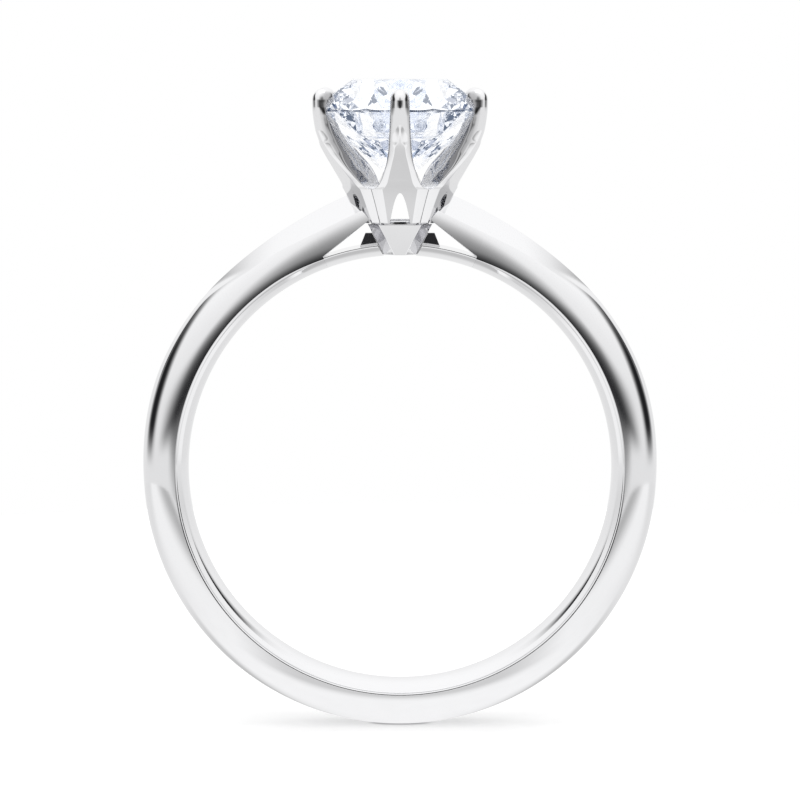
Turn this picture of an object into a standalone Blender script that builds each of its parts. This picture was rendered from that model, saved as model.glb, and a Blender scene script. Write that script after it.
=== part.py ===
"""Six-claw solitaire ring, built from the pieces a jeweller solders and sets together.

The ring stands upright on its band. X runs left to right across the finger, Y runs along the
finger (the front is -Y) and Z is up. The origin is where the band touches the table it stands on.
Every profile below is given from the centre of the finger bore.
"""

import math

import bmesh
import bpy
from mathutils import Vector

MM = 0.001

# Finger size and band
BORE_RADIUS = 8.675 * MM          # crest of the comfort-fit bore, US finger size 7
BAND_RADIUS = 10.53 * MM          # outermost line of the band
BAND_WIDTH = 2.4 * MM
COMFORT_RISE = 0.435 * MM         # how far the bore opens from its crest to the band's edges
DOME_POWER = 2.2                  # squareness of the domed outside
RIDGE_FLAT = 0.16 * MM            # width of the narrow flat along the top of the dome

# Shoulders, measured as angles from the top of the ring
SWELL = 0.13 * MM                 # the band is this much thicker once it reaches the upper half
SWELL_FROM, SWELL_TO = math.radians(95), math.radians(65)
RISE = 1.28 * MM                  # how steeply the shoulders climb to the head
RISE_FROM = math.radians(45)
RISE_POWER = 2.2
CREASE_RADIUS = 10.17 * MM        # lower edge of the flat cut along each shoulder
CREASE_STRAIGHT = math.radians(26)
FACET_FROM, FACET_FULL = math.radians(50), math.radians(40)
SPLIT_ANGLE = math.radians(19.8)  # where the shoulder leaves the bore and the bridge begins
SHOULDER_END = math.radians(6)    # inside the head, which then trims the shoulder to its shape
UNDERSIDE_SLOPE = 0.80            # fall of the shoulder's underside, per unit across

# Bridge under the head: a thin rail with a narrow upright gusset against the peg
BRIDGE_TOP = 9.18 * MM
BRIDGE_CLEARANCE = 0.04 * MM      # between the bridge and the shoulder that lifts off it
BRIDGE_MIDDLE = math.radians(0.6)  # where each half starts, inside the slot for the peg
GUSSET_TOP = 9.60 * MM
GUSSET_HALF_WIDTH = 0.25 * MM
GUSSET_TOP_ANGLE, GUSSET_FOOT_ANGLE = math.radians(8.4), math.radians(10.3)

# Peg: an eight-sided spike, with narrow flats against the gussets
PEG_TOP, PEG_FOOT = 9.97 * MM, 8.70 * MM
PEG_TOP_RADIUS, PEG_FOOT_RADIUS = 1.33 * MM, 0.675 * MM
PEG_TOP_DEPTH, PEG_FOOT_DEPTH = 0.98 * MM, 0.50 * MM   # from its middle to its front flat
PEG_TOP_SIDE, PEG_FOOT_SIDE = 0.30 * MM, 0.15 * MM     # half width of its side flats
PEG_CORNER = 0.45 * MM            # how much narrower than the peg its front flat is, on each side

# Gallery ring: the floor of the little windows
GALLERY_RADIUS, GALLERY_HOLE = 1.20 * MM, 0.62 * MM
GALLERY_HEIGHT = 0.14 * MM

# Stone: round brilliant
STONE_RADIUS = 3.50 * MM
GIRDLE_BOTTOM, GIRDLE_TOP = 14.55 * MM, 14.75 * MM
TABLE_RADIUS = 1.93 * MM
TABLE_HEIGHT = 15.90 * MM
PAVILION_ANGLE = math.radians(40.8)
STAR_LENGTH = 0.50
LOWER_HALF_LENGTH = 0.77
GIRDLE_SIDES = 64

# Claws
CLAW_COUNT = 6
CLAW_FOOT = 10.00 * MM
FOOT_CHAMFER = 0.16 * MM
WINDOW_TOP, WINDOW_HALF_WIDTH = 11.32 * MM, 0.42 * MM
NOTCH_DEPTH = 0.20 * MM           # the seat starts this far below the stone's girdle
ARCH_BOTTOM = 11.47 * MM          # lowest point of the rounded opening between two claws
ARCH_TOP = 12.78 * MM
ARCH_POWER = 2.2                  # roundness of the opening's lower end
FACET_HALF_ANGLE = math.radians(17.4)  # half of the flat front of a foot, seen from above
CLAW_SECTOR = math.pi / CLAW_COUNT     # half of the space that one claw has
INNER_WIDTH = 0.78                # a claw's inner face, as a share of its widest part
TIP_START, TIP_TOP = 15.08 * MM, 15.54 * MM
TIP_RADIUS = 3.60 * MM            # distance of the tip's crown from the head's axis
TIP_INNER_RADIUS = 3.20 * MM

# Seams: solder joints and seats are modelled as this much air
SEAM = 0.02 * MM
SEAT = 0.02 * MM
SHOULDER_GAP = 0.05 * MM          # between a shoulder's end and the head
SHOULDER_CUT_TOP = 12.20 * MM     # above the shoulders' highest point
OVERCUT = 0.4 * MM                # how far a cutter runs past what it cuts

# Mesh fineness
BAND_STATIONS = 91
SHOULDER_STATIONS = 8
BRIDGE_STATIONS = 5                # on each of the gusset and the rail
BORE_POINTS = 6                   # steps across the comfort-fit bore
TURNED_SIDES = 48

# Finishes: name, colour, roughness and metallic value
PLATINUM = ("platinum", (0.80, 0.81, 0.82, 1.0), 0.08, 1.0)
PLATINUM_BRIDGE = ("platinum_bridge", (0.76, 0.77, 0.79, 1.0), 0.10, 1.0)
PLATINUM_HEAD = ("platinum_head", (0.82, 0.83, 0.84, 1.0), 0.07, 1.0)
DIAMOND = ("diamond", (0.95, 0.97, 1.0, 1.0), 0.0, 0.0)


def profile(points):
    """A smooth curve through (height, value) points, both in millimetres, read in metres."""
    heights = [p[0] * MM for p in points]
    values = [p[1] * MM for p in points]
    last = len(points) - 1
    steps = [(values[i + 1] - values[i]) / (heights[i + 1] - heights[i]) for i in range(last)]
    slopes = [steps[0]]
    for before, after in zip(steps, steps[1:]):
        same_way = before * after > 0
        slopes.append(2 * before * after / (before + after) if same_way else 0.0)
    slopes.append(steps[-1])

    def read(height):
        height = min(max(height, heights[0]), heights[-1])
        i = max(k for k in range(last) if heights[k] <= height)
        span = heights[i + 1] - heights[i]
        t = (height - heights[i]) / span
        start = values[i] * (1 + 2 * t) * (1 - t) ** 2 + slopes[i] * span * t * (1 - t) ** 2
        end = values[i + 1] * t * t * (3 - 2 * t) + slopes[i + 1] * span * t * t * (t - 1)
        return start + end

    return read


# Height above the bore's centre against distance from the head's axis, or half width
claw_outside = profile([(10.0, 1.58), (11.2, 2.15), (11.6, 2.38), (12.0, 2.70), (12.4, 3.02),
                        (12.9, 3.41), (13.4, 3.72), (13.85, 3.90), (14.34, 4.00), (14.75, 4.05),
                        (15.08, 4.06)])
claw_thickness = profile([(10.0, 0.35), (11.0, 0.52), (11.6, 0.95), (12.0, 1.22), (12.4, 1.30),
                          (12.9, 1.26), (13.4, 1.12), (14.0, 0.94), (14.6, 0.84), (15.08, 0.80)])
claw_half_width = profile([(12.2, 0.58), (13.0, 0.485), (14.0, 0.425), (14.6, 0.40), (15.08, 0.39)])
claw_flat = profile([(11.47, 0.724), (11.6, 0.59), (11.76, 0.50), (12.16, 0.41), (12.57, 0.325),
                     (12.98, 0.24), (13.3, 0.215), (13.5, 0.16), (15.08, 0.16)])
claw_rounding = profile([(11.47, 0.0), (12.2, 0.10), (13.0, 0.24), (13.7, 0.28), (15.08, 0.28)])


def smooth_step(t):
    """0 below 0, 1 above 1, and smooth in between."""
    t = min(max(t, 0.0), 1.0)
    return t * t * (3 - 2 * t)


def material(name, colour, roughness, metallic):
    """The Principled material of that name, made once."""
    if name in bpy.data.materials:
        return bpy.data.materials[name]
    made = bpy.data.materials.new(name)
    made.use_nodes = True
    shader = made.node_tree.nodes["Principled BSDF"]
    shader.inputs["Base Color"].default_value = colour
    shader.inputs["Roughness"].default_value = roughness
    shader.inputs["Metallic"].default_value = metallic
    if not metallic:
        shader.inputs["Transmission Weight"].default_value = 1.0
        shader.inputs["IOR"].default_value = 2.417
    return made


def add_object(name, mesh, finish, parent):
    """Links a mesh as one named object under a parent empty."""
    made = bpy.data.objects.new(name, mesh)
    bpy.context.scene.collection.objects.link(made)
    made.parent = parent
    if not mesh.materials:
        mesh.materials.append(material(*finish))
    return made


def finish_mesh(name, shape, smooth_angle=None):
    """Turns a bmesh into a mesh with its faces pointing out."""
    bmesh.ops.recalc_face_normals(shape, faces=shape.faces)
    mesh = bpy.data.meshes.new(name)
    shape.to_mesh(mesh)
    shape.free()
    if smooth_angle is not None:
        mesh.shade_smooth()
        mesh.set_sharp_from_angle(angle=smooth_angle)
    return mesh


def sweep(name, loops, smooth_angle=None):
    """Skins a list of equal-length closed loops of points, caps both ends and joins points that meet."""
    shape = bmesh.new()
    rings = [[shape.verts.new(p) for p in loop] for loop in loops]
    count = len(rings[0])
    for ring, following in zip(rings, rings[1:]):
        for i in range(count):
            j = (i + 1) % count
            shape.faces.new((ring[i], ring[j], following[j], following[i]))
    shape.faces.new(rings[0])
    shape.faces.new(rings[-1])
    bmesh.ops.remove_doubles(shape, verts=shape.verts, dist=1e-7)
    return finish_mesh(name, shape, smooth_angle)


def add_cutter(name, mesh, parent):
    """An object that only serves a Boolean."""
    cutter = bpy.data.objects.new(name, mesh)
    bpy.context.scene.collection.objects.link(cutter)
    cutter.parent = parent
    cutter.hide_render = True
    cutter.display_type = "WIRE"
    return cutter


def cut(target, cutter):
    """Adds a Boolean modifier that takes the cutter away from the target."""
    made = target.modifiers.new("cut", "BOOLEAN")
    made.operation = "DIFFERENCE"
    made.object = cutter
    made.solver = "EXACT"


# Band


def band_top(angle):
    """Distance of the band's outermost line from the bore's axis."""
    swell = SWELL * smooth_step((SWELL_FROM - angle) / (SWELL_FROM - SWELL_TO))
    climb = max(0.0, (RISE_FROM - angle) / RISE_FROM) ** RISE_POWER
    return BAND_RADIUS + swell + RISE * climb


def bore_radius(across):
    """The comfort-fit bore: tightest in the middle of the band."""
    return BORE_RADIUS + COMFORT_RISE * (across / (BAND_WIDTH / 2)) ** 2


def bore_edge():
    return bore_radius(BAND_WIDTH / 2)


def flank_half_width(radius, angle):
    """Half the band's width at a distance from the bore's axis, on its domed side."""
    reach = (radius - bore_edge()) / (band_top(angle) - bore_edge())
    return BAND_WIDTH / 2 * (1 - reach**DOME_POWER) ** (1 / DOME_POWER)


def dome_radius(across, angle):
    """Height of the dome at a distance across the band."""
    fall = (1 - (across / (BAND_WIDTH / 2)) ** DOME_POWER) ** (1 / DOME_POWER)
    return bore_edge() + (band_top(angle) - bore_edge()) * fall


def underside_radius(angle):
    """Distance of the shoulder's straight underside from the bore's axis."""
    start = BRIDGE_TOP + BRIDGE_CLEARANCE
    level = start * (math.cos(SPLIT_ANGLE) + UNDERSIDE_SLOPE * math.sin(SPLIT_ANGLE))
    return level / (math.cos(angle) + UNDERSIDE_SLOPE * math.sin(angle))


def outer_half(angle, lowest):
    """Half of the band's outline, from its lower edge up to the ridge, as (across, radius)."""
    crease = CREASE_RADIUS / math.cos(max(0.0, CREASE_STRAIGHT - angle))
    crease_across = flank_half_width(crease, angle)
    points = []
    for i in range(4):
        radius = lowest + (crease - lowest) * (i / 4)
        points.append((flank_half_width(radius, angle), radius))
    for i in range(5):
        across = crease_across + (RIDGE_FLAT / 2 - crease_across) * (i / 4)
        dome = dome_radius(across, angle)
        ridge = dome_radius(RIDGE_FLAT / 2, angle)
        share = (crease_across - across) / (crease_across - RIDGE_FLAT / 2)
        flat = crease + (ridge - crease) * share
        start = FACET_FULL + (FACET_FROM - FACET_FULL) * share
        cut = smooth_step((start - angle) / (FACET_FROM - FACET_FULL) + 0.5)
        points.append((across, dome + (flat - dome) * cut))
    return points


def band_section(angle, on_shoulder):
    """The closed outline of the band at an angle from the top, as (across, radius) points."""
    lowest = underside_radius(angle) if on_shoulder else bore_edge()
    half = outer_half(angle, lowest)
    outline = half + [(-across, radius) for across, radius in reversed(half)]
    edge = half[0][0]
    for i in range(1, BORE_POINTS):
        across = edge * (2 * i / BORE_POINTS - 1)
        outline.append((across, lowest if on_shoulder else bore_radius(across)))
    return outline


def place_section(outline, angle):
    """Stands a section up at its angle from the top, clockwise as seen from the front."""
    return [(r * math.sin(angle), y, r * math.cos(angle)) for y, r in outline]


def head_envelope():
    """A turned solid just larger than the head, which shapes the ends of the shoulders."""
    foot = CLAW_FOOT + FOOT_CHAMFER
    rows = 3
    outline = [(0.0, BRIDGE_TOP), (PEG_TOP_RADIUS, BRIDGE_TOP), (PEG_TOP_RADIUS + SHOULDER_GAP, PEG_TOP)]
    for i in range(rows + 1):
        height = foot + (SHOULDER_CUT_TOP - foot) * i / rows
        outline.append((claw_outside(height) / math.cos(FACET_HALF_ANGLE) + SHOULDER_GAP, height))
    outline.append((0.0, SHOULDER_CUT_TOP))
    return turned("head_envelope", outline, TURNED_SIDES)


def turned(name, outline, sides):
    """A closed solid of revolution about Z. The outline's first and last points are on the axis."""
    shape = bmesh.new()
    foot = shape.verts.new((0, 0, outline[0][1]))
    top = shape.verts.new((0, 0, outline[-1][1]))
    rings = []
    for radius, height in outline[1:-1]:
        ring = []
        for i in range(sides):
            turn = 2 * math.pi * i / sides
            ring.append(shape.verts.new((radius * math.cos(turn), radius * math.sin(turn), height)))
        rings.append(ring)
    for i in range(sides):
        j = (i + 1) % sides
        shape.faces.new((foot, rings[0][j], rings[0][i]))
        shape.faces.new((top, rings[-1][i], rings[-1][j]))
        for ring, following in zip(rings, rings[1:]):
            shape.faces.new((ring[i], ring[j], following[j], following[i]))
    return finish_mesh(name, shape)


def build_shank(parent):
    """The band with both shoulders: one strip, open at the top where the head sits."""
    loops = []
    for i in range(SHOULDER_STATIONS + 1):
        angle = SHOULDER_END + (SPLIT_ANGLE - SHOULDER_END) * i / SHOULDER_STATIONS
        loops.append(place_section(band_section(angle, True), angle))
    span = 2 * math.pi - 2 * SPLIT_ANGLE
    for i in range(BAND_STATIONS + 1):
        angle = SPLIT_ANGLE + span * i / BAND_STATIONS
        from_top = min(angle, 2 * math.pi - angle)
        loops.append(place_section(band_section(from_top, False), angle))
    for i in range(SHOULDER_STATIONS + 1):
        angle = SPLIT_ANGLE + (SHOULDER_END - SPLIT_ANGLE) * i / SHOULDER_STATIONS
        loops.append(place_section(band_section(angle, True), -angle))
    shank = add_object("shank", sweep("shank", loops, math.radians(20)), PLATINUM, parent)
    cut(shank, add_cutter("head_envelope", head_envelope(), parent))
    return shank


# Bridge


def gusset_top(angle):
    """Distance of the gusset's upper side from the bore's axis."""
    gusset = GUSSET_TOP / math.cos(min(angle, GUSSET_TOP_ANGLE))
    fall = (angle - GUSSET_TOP_ANGLE) / (GUSSET_FOOT_ANGLE - GUSSET_TOP_ANGLE)
    return gusset + (BRIDGE_TOP - gusset) * min(max(fall, 0.0), 1.0)


def peg_radius(height):
    share = (height - PEG_FOOT) / (PEG_TOP - PEG_FOOT)
    return PEG_FOOT_RADIUS + (PEG_TOP_RADIUS - PEG_FOOT_RADIUS) * share


def peg_slot():
    """The tapered slot for the peg, open to the front and the back of the bridge."""
    loops = []
    for height in (PEG_FOOT - OVERCUT, PEG_TOP + OVERCUT):
        x, y = peg_radius(height) + SEAM, BAND_WIDTH
        loops.append([(x, -y, height), (x, y, height), (-x, y, height), (-x, -y, height)])
    return sweep("peg_slot", loops)


def build_bridge(name, side, parent, slot):
    """Half of the rail that closes the bore under the head. side is 1 for right."""
    stop = SPLIT_ANGLE - SEAM / BRIDGE_TOP
    edge = BAND_WIDTH / 2
    parts = ((BRIDGE_MIDDLE, GUSSET_TOP_ANGLE), (GUSSET_FOOT_ANGLE, stop))
    loops = []
    for start, end in parts:
        for i in range(BRIDGE_STATIONS + 1):
            angle = start + (end - start) * i / BRIDGE_STATIONS
            top = gusset_top(angle)
            half = [(edge, BRIDGE_TOP), (GUSSET_HALF_WIDTH, BRIDGE_TOP), (GUSSET_HALF_WIDTH, top)]
            outline = half + [(-across, radius) for across, radius in reversed(half)]
            for k in range(BORE_POINTS + 1):
                across = edge * (2 * k / BORE_POINTS - 1)
                outline.append((across, bore_radius(across)))
            loops.append(place_section(outline, side * angle))
    half = add_object(name, sweep(name, loops, math.radians(20)), PLATINUM_BRIDGE, parent)
    cut(half, slot)
    return half


# Head


def build_peg(parent):
    """Eight-sided tapered spike that carries the head and ends flush with the bore's crest."""
    loops = []
    ends = ((PEG_FOOT, PEG_FOOT_DEPTH, PEG_FOOT_SIDE), (PEG_TOP, PEG_TOP_DEPTH, PEG_TOP_SIDE))
    for height, depth, side in ends:
        r = peg_radius(height)
        flat = r - PEG_CORNER
        front = ((-r, -side), (-flat, -depth), (flat, -depth), (r, -side))
        outline = front + tuple((-x, -y) for x, y in front)
        loops.append([(x, y, height) for x, y in outline])
    return add_object("peg", sweep("peg", loops), PLATINUM_HEAD, parent)


def build_gallery_ring(parent):
    """Flat ring inside the claws' feet: the floor of the windows."""
    foot = PEG_TOP + SEAM
    shape = bmesh.new()
    rings = []
    corners = ((GALLERY_HOLE, foot), (GALLERY_RADIUS, foot),
               (GALLERY_RADIUS, foot + GALLERY_HEIGHT), (GALLERY_HOLE, foot + GALLERY_HEIGHT))
    for i in range(TURNED_SIDES):
        a = 2 * math.pi * i / TURNED_SIDES
        rings.append([shape.verts.new((r * math.cos(a), r * math.sin(a), z)) for r, z in corners])
    for i in range(TURNED_SIDES):
        here, after = rings[i], rings[(i + 1) % TURNED_SIDES]
        for k in range(4):
            m = (k + 1) % 4
            shape.faces.new((here[k], here[m], after[m], after[k]))
    mesh = finish_mesh("gallery_ring", shape, math.radians(30))
    return add_object("gallery_ring", mesh, PLATINUM_HEAD, parent)


def stone_outline_radius(height):
    """Radius of the stone's round envelope at a height."""
    if height > GIRDLE_TOP:
        slope = (TABLE_HEIGHT - GIRDLE_TOP) / (STONE_RADIUS - TABLE_RADIUS)
        return STONE_RADIUS - (height - GIRDLE_TOP) / slope
    if height < GIRDLE_BOTTOM:
        return STONE_RADIUS - (GIRDLE_BOTTOM - height) / math.tan(PAVILION_ANGLE)
    return STONE_RADIUS


def claw_inside(height):
    """Inner face of a claw: its own thickness, cut back by the seat for the stone."""
    own = claw_outside(height) - claw_thickness(height)
    if height > GIRDLE_TOP:
        return max(TIP_INNER_RADIUS, stone_outline_radius(height - SEAT) + SEAT)
    return max(own, stone_outline_radius(min(height + SEAT, GIRDLE_TOP)) + SEAT)


def seam_point(radius):
    """A point on the soldered seam between a claw and its neighbour, as (outward, sideways)."""
    gap = SEAM / 2 / math.cos(CLAW_SECTOR)
    return Vector((radius * math.cos(CLAW_SECTOR), radius * math.sin(CLAW_SECTOR) - gap))


def claw_side(height, out, inside):
    """The side of a claw, from its outside to its inside: the seam, or above it the shaft."""
    corner = out / math.cos(FACET_HALF_ANGLE) * math.cos(CLAW_SECTOR - FACET_HALF_ANGLE)
    seam = [seam_point(radius) for radius in (corner, (corner + inside) / 2, inside)]
    if height <= ARCH_BOTTOM:
        return seam
    side = claw_half_width(height)
    drop = max(0.0, (ARCH_TOP - height) / (ARCH_TOP - ARCH_BOTTOM))
    spread = 1 - (1 - drop**ARCH_POWER) ** (1 / ARCH_POWER)
    outer = Vector((out - claw_rounding(height), side)).lerp(seam[0], spread)
    inner = Vector((inside, INNER_WIDTH * side)).lerp(seam[2], spread)
    middle = outer.lerp(inner, 0.5)
    middle.y += (outer.y - inner.y) / 2 * (1 - spread)
    return [outer, middle, inner]


def claw_row(height):
    """Half of a claw's section: (outward, sideways) points from its middle round to its inside."""
    out, inside = claw_outside(height), claw_inside(height)
    window = 0.0
    if height < WINDOW_TOP:
        depth = (WINDOW_TOP - height) / (WINDOW_TOP - CLAW_FOOT)
        window = WINDOW_HALF_WIDTH * math.sqrt(depth)
    side = claw_side(height, out, inside)
    if height <= ARCH_BOTTOM:
        flat = out * math.tan(FACET_HALF_ANGLE)
    else:
        flat = min(claw_flat(height), 0.9 * side[0].y)
    return [(out, window), (out, flat), *side, (inside, window)]


def tip_row(share):
    """A row of the rounded tip. share runs from 0 at its foot to 1 at its crown."""
    base = claw_row(TIP_START)
    size = math.sqrt(1 - share * share)
    return [(TIP_RADIUS + (out - TIP_RADIUS) * size, side * size) for out, side in base]


def claw_heights():
    """Rows from the foot up: closer together round the arch and the stone's seat."""
    window = [WINDOW_TOP - (WINDOW_TOP - CLAW_FOOT) * t * t for t in (0.85, 0.7, 0.5, 0.3, 0.15, 0)]
    legs = [CLAW_FOOT, CLAW_FOOT + FOOT_CHAMFER, *window, (WINDOW_TOP + ARCH_BOTTOM) / 2]
    arch = [ARCH_BOTTOM + (ARCH_TOP - ARCH_BOTTOM) * t for t in (0, 0.02, 0.08, 0.2, 0.4, 0.65, 1)]
    notch = GIRDLE_BOTTOM - NOTCH_DEPTH
    shaft = [ARCH_TOP + (notch - ARCH_TOP) * i / 5 for i in range(1, 6)]
    seat = [GIRDLE_BOTTOM - SEAT, GIRDLE_TOP + SEAT]
    tip = [GIRDLE_TOP + (TIP_START - GIRDLE_TOP) * t for t in (0.3, 0.6, 1)]
    return legs + arch + shaft + seat + tip


def claw_mesh():
    """One claw at azimuth 0: a shaft that forks into two legs round a window."""
    shape = bmesh.new()
    rows = []
    heights = claw_heights() + [TIP_START + (TIP_TOP - TIP_START) * s for s in (0.4, 0.7, 0.9, 0.98)]
    for i, height in enumerate(heights):
        tip = (height - TIP_START) / (TIP_TOP - TIP_START)
        half = tip_row(tip) if tip > 0 else claw_row(height)
        if i == 0:
            chamfered = PEG_TOP_RADIUS + SEAM
            half = [(min(out, chamfered), min(side, chamfered / 2)) for out, side in half]
        split = height < WINDOW_TOP
        right = [shape.verts.new((out, side, height)) for out, side in half]
        left = []
        for k, (out, side) in enumerate(half):
            shared = not split and k in (0, len(half) - 1)
            left.append(right[k] if shared else shape.verts.new((out, -side, height)))
        rows.append((split, right, left))
    for (split, right, left), (_, right_up, left_up) in zip(rows, rows[1:]):
        for low, up in ((right, right_up), (left, left_up)):
            for k in range(len(low) - 1):
                shape.faces.new((low[k], low[k + 1], up[k + 1], up[k]))
            if split:
                shape.faces.new((low[-1], low[0], up[0], up[-1]))
    shape.faces.new(rows[0][1])
    shape.faces.new(rows[0][2])
    _, right, left = rows[-1]
    shape.faces.new(right + list(reversed(left[1:-1])))
    return finish_mesh("claw", shape, math.radians(35))


def build_claws(parent):
    """Six identical claws, one of them in the middle of the front."""
    mesh = claw_mesh()
    claws = []
    for i in range(CLAW_COUNT):
        claw = add_object(f"claw_{i + 1}", mesh, PLATINUM_HEAD, parent)
        claw.rotation_euler = (0, 0, -math.pi / 2 + 2 * math.pi * i / CLAW_COUNT)
        claws.append(claw)
    return claws


def plane_through(a, b, c):
    """(point, normal) of the plane through three points, with the normal away from the stone."""
    normal = (b - a).cross(c - a).normalized()
    centre = Vector((0, 0, (GIRDLE_BOTTOM + GIRDLE_TOP) / 2))
    return a, normal if normal.dot(a - centre) > 0 else -normal


def stone_point(radius, turn, height):
    return Vector((radius * math.cos(turn), radius * math.sin(turn), height))


def brilliant_planes():
    """The facet planes of a round brilliant: table, stars, mains and halves."""
    crown_slope = (TABLE_HEIGHT - GIRDLE_TOP) / (STONE_RADIUS - TABLE_RADIUS)
    pavilion_slope = math.tan(PAVILION_ANGLE)
    culet = GIRDLE_BOTTOM - STONE_RADIUS * pavilion_slope
    eighth, half_step = math.pi / 4, math.pi / 8
    table_edge = TABLE_RADIUS * math.cos(half_step)
    star_radius = table_edge + STAR_LENGTH * (STONE_RADIUS - table_edge)
    star_height = TABLE_HEIGHT - crown_slope * (star_radius * math.cos(half_step) - TABLE_RADIUS)
    keel_radius = (1 - LOWER_HALF_LENGTH) * STONE_RADIUS
    keel_height = culet + pavilion_slope * keel_radius * math.cos(half_step)
    planes = [(Vector((0, 0, TABLE_HEIGHT)), Vector((0, 0, 1)))]
    for k in range(8):
        main = k * eighth
        crown = Vector((math.cos(main) * crown_slope, math.sin(main) * crown_slope, 1))
        planes.append((stone_point(STONE_RADIUS, main, GIRDLE_TOP), crown.normalized()))
        pavilion = Vector((math.cos(main) * pavilion_slope, math.sin(main) * pavilion_slope, -1))
        planes.append((stone_point(STONE_RADIUS, main, GIRDLE_BOTTOM), pavilion.normalized()))
        left = stone_point(TABLE_RADIUS, main, TABLE_HEIGHT)
        right = stone_point(TABLE_RADIUS, main + eighth, TABLE_HEIGHT)
        star = stone_point(star_radius, main + half_step, star_height)
        planes.append(plane_through(left, right, star))
        keel = stone_point(keel_radius, main + half_step, keel_height)
        for corner in (main, main + eighth):
            for tip, level in ((star, GIRDLE_TOP), (keel, GIRDLE_BOTTOM)):
                edge = stone_point(STONE_RADIUS, corner, level)
                meet = stone_point(STONE_RADIUS, main + half_step, level)
                planes.append(plane_through(tip, edge, meet))
    return planes


def build_stone(parent):
    """The diamond, cut facet by facet from a round blank."""
    depth = TABLE_HEIGHT - GIRDLE_BOTTOM + STONE_RADIUS
    shape = bmesh.new()
    bmesh.ops.create_cone(shape, cap_ends=True, segments=GIRDLE_SIDES, radius1=STONE_RADIUS,
                          radius2=STONE_RADIUS, depth=2 * depth)
    bmesh.ops.translate(shape, vec=(0, 0, GIRDLE_BOTTOM), verts=shape.verts)
    for point, normal in brilliant_planes():
        everything = list(shape.verts) + list(shape.edges) + list(shape.faces)
        done = bmesh.ops.bisect_plane(shape, geom=everything, plane_co=point, plane_no=normal,
                                      dist=1e-9, clear_outer=True)
        edges = [e for e in done["geom_cut"] if isinstance(e, bmesh.types.BMEdge) and e.is_boundary]
        if edges:
            bmesh.ops.contextual_create(shape, geom=edges)
    bmesh.ops.remove_doubles(shape, verts=shape.verts, dist=1e-7)
    mesh = finish_mesh("diamond", shape)
    return add_object("diamond", mesh, DIAMOND, parent)


def add_empty(name, height):
    empty = bpy.data.objects.new(name, None)
    bpy.context.scene.collection.objects.link(empty)
    empty.location = (0, 0, height)
    return empty


def main():
    for old in list(bpy.data.objects):
        bpy.data.objects.remove(old)
    half_step = (2 * math.pi - 2 * SPLIT_ANGLE) / BAND_STATIONS / 2
    lowest = dome_radius(RIDGE_FLAT / 2, math.pi) * math.cos(half_step)
    bore_centre = add_empty("bore_centre", lowest)
    build_shank(bore_centre)
    slot = add_cutter("peg_slot", peg_slot(), bore_centre)
    build_bridge("bridge_right", 1, bore_centre, slot)
    build_bridge("bridge_left", -1, bore_centre, slot)
    build_peg(bore_centre)
    build_gallery_ring(bore_centre)
    build_claws(bore_centre)
    build_stone(bore_centre)


main()
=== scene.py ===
import math

import bmesh
import bpy
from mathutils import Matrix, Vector


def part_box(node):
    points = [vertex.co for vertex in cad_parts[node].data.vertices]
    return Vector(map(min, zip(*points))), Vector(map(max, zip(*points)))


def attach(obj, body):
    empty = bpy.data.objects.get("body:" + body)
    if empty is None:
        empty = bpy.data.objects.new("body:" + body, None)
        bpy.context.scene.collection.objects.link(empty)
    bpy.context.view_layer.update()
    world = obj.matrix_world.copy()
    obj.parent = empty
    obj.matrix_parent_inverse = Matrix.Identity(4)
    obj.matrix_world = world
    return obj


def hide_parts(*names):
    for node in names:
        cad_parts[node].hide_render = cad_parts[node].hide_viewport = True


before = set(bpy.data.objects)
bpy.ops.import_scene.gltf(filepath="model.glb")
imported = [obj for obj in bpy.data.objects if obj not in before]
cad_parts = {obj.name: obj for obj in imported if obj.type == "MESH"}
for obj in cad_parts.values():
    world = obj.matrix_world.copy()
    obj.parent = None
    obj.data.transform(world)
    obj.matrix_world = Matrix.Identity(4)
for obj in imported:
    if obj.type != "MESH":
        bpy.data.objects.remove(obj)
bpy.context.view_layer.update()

MM = 0.001

# What the frame says. Heights below are given from the centre of the finger bore.
stone_low, stone_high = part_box("diamond")
shank_low, shank_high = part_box("shank")
TABLE_HEIGHT = 15.90 * MM
BORE_CENTRE = Vector((0, 0, stone_high.z - TABLE_HEIGHT))
STONE_RADIUS = (stone_high.x - stone_low.x) / 2
BAND_WIDTH = shank_high.y - shank_low.y
BAND_RADIUS = BORE_CENTRE.z - shank_low.z

# Band
BORE_RADIUS = 8.675 * MM
COMFORT_RISE = 0.435 * MM
DOME_POWER = 2.2
RIDGE_FLAT = 0.16 * MM
SWELL = 0.13 * MM
SWELL_FROM, SWELL_TO = math.radians(95), math.radians(65)
RISE = 1.28 * MM
RISE_FROM = math.radians(45)
RISE_POWER = 2.2
CREASE_RADIUS = 10.17 * MM
CREASE_STRAIGHT = math.radians(26)
FACET_FROM, FACET_FULL = math.radians(50), math.radians(40)
SPLIT_ANGLE = math.radians(19.8)
SHOULDER_END = math.radians(6)
UNDERSIDE_SLOPE = 0.80
EDGE_ROUND = 0.12 * MM             # rounding of the bore's edges
EDGE_ROUND_SPLIT = 0.03 * MM       # the same where the thin bridge begins
EDGE_ROUND_FROM = math.radians(34)

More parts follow.
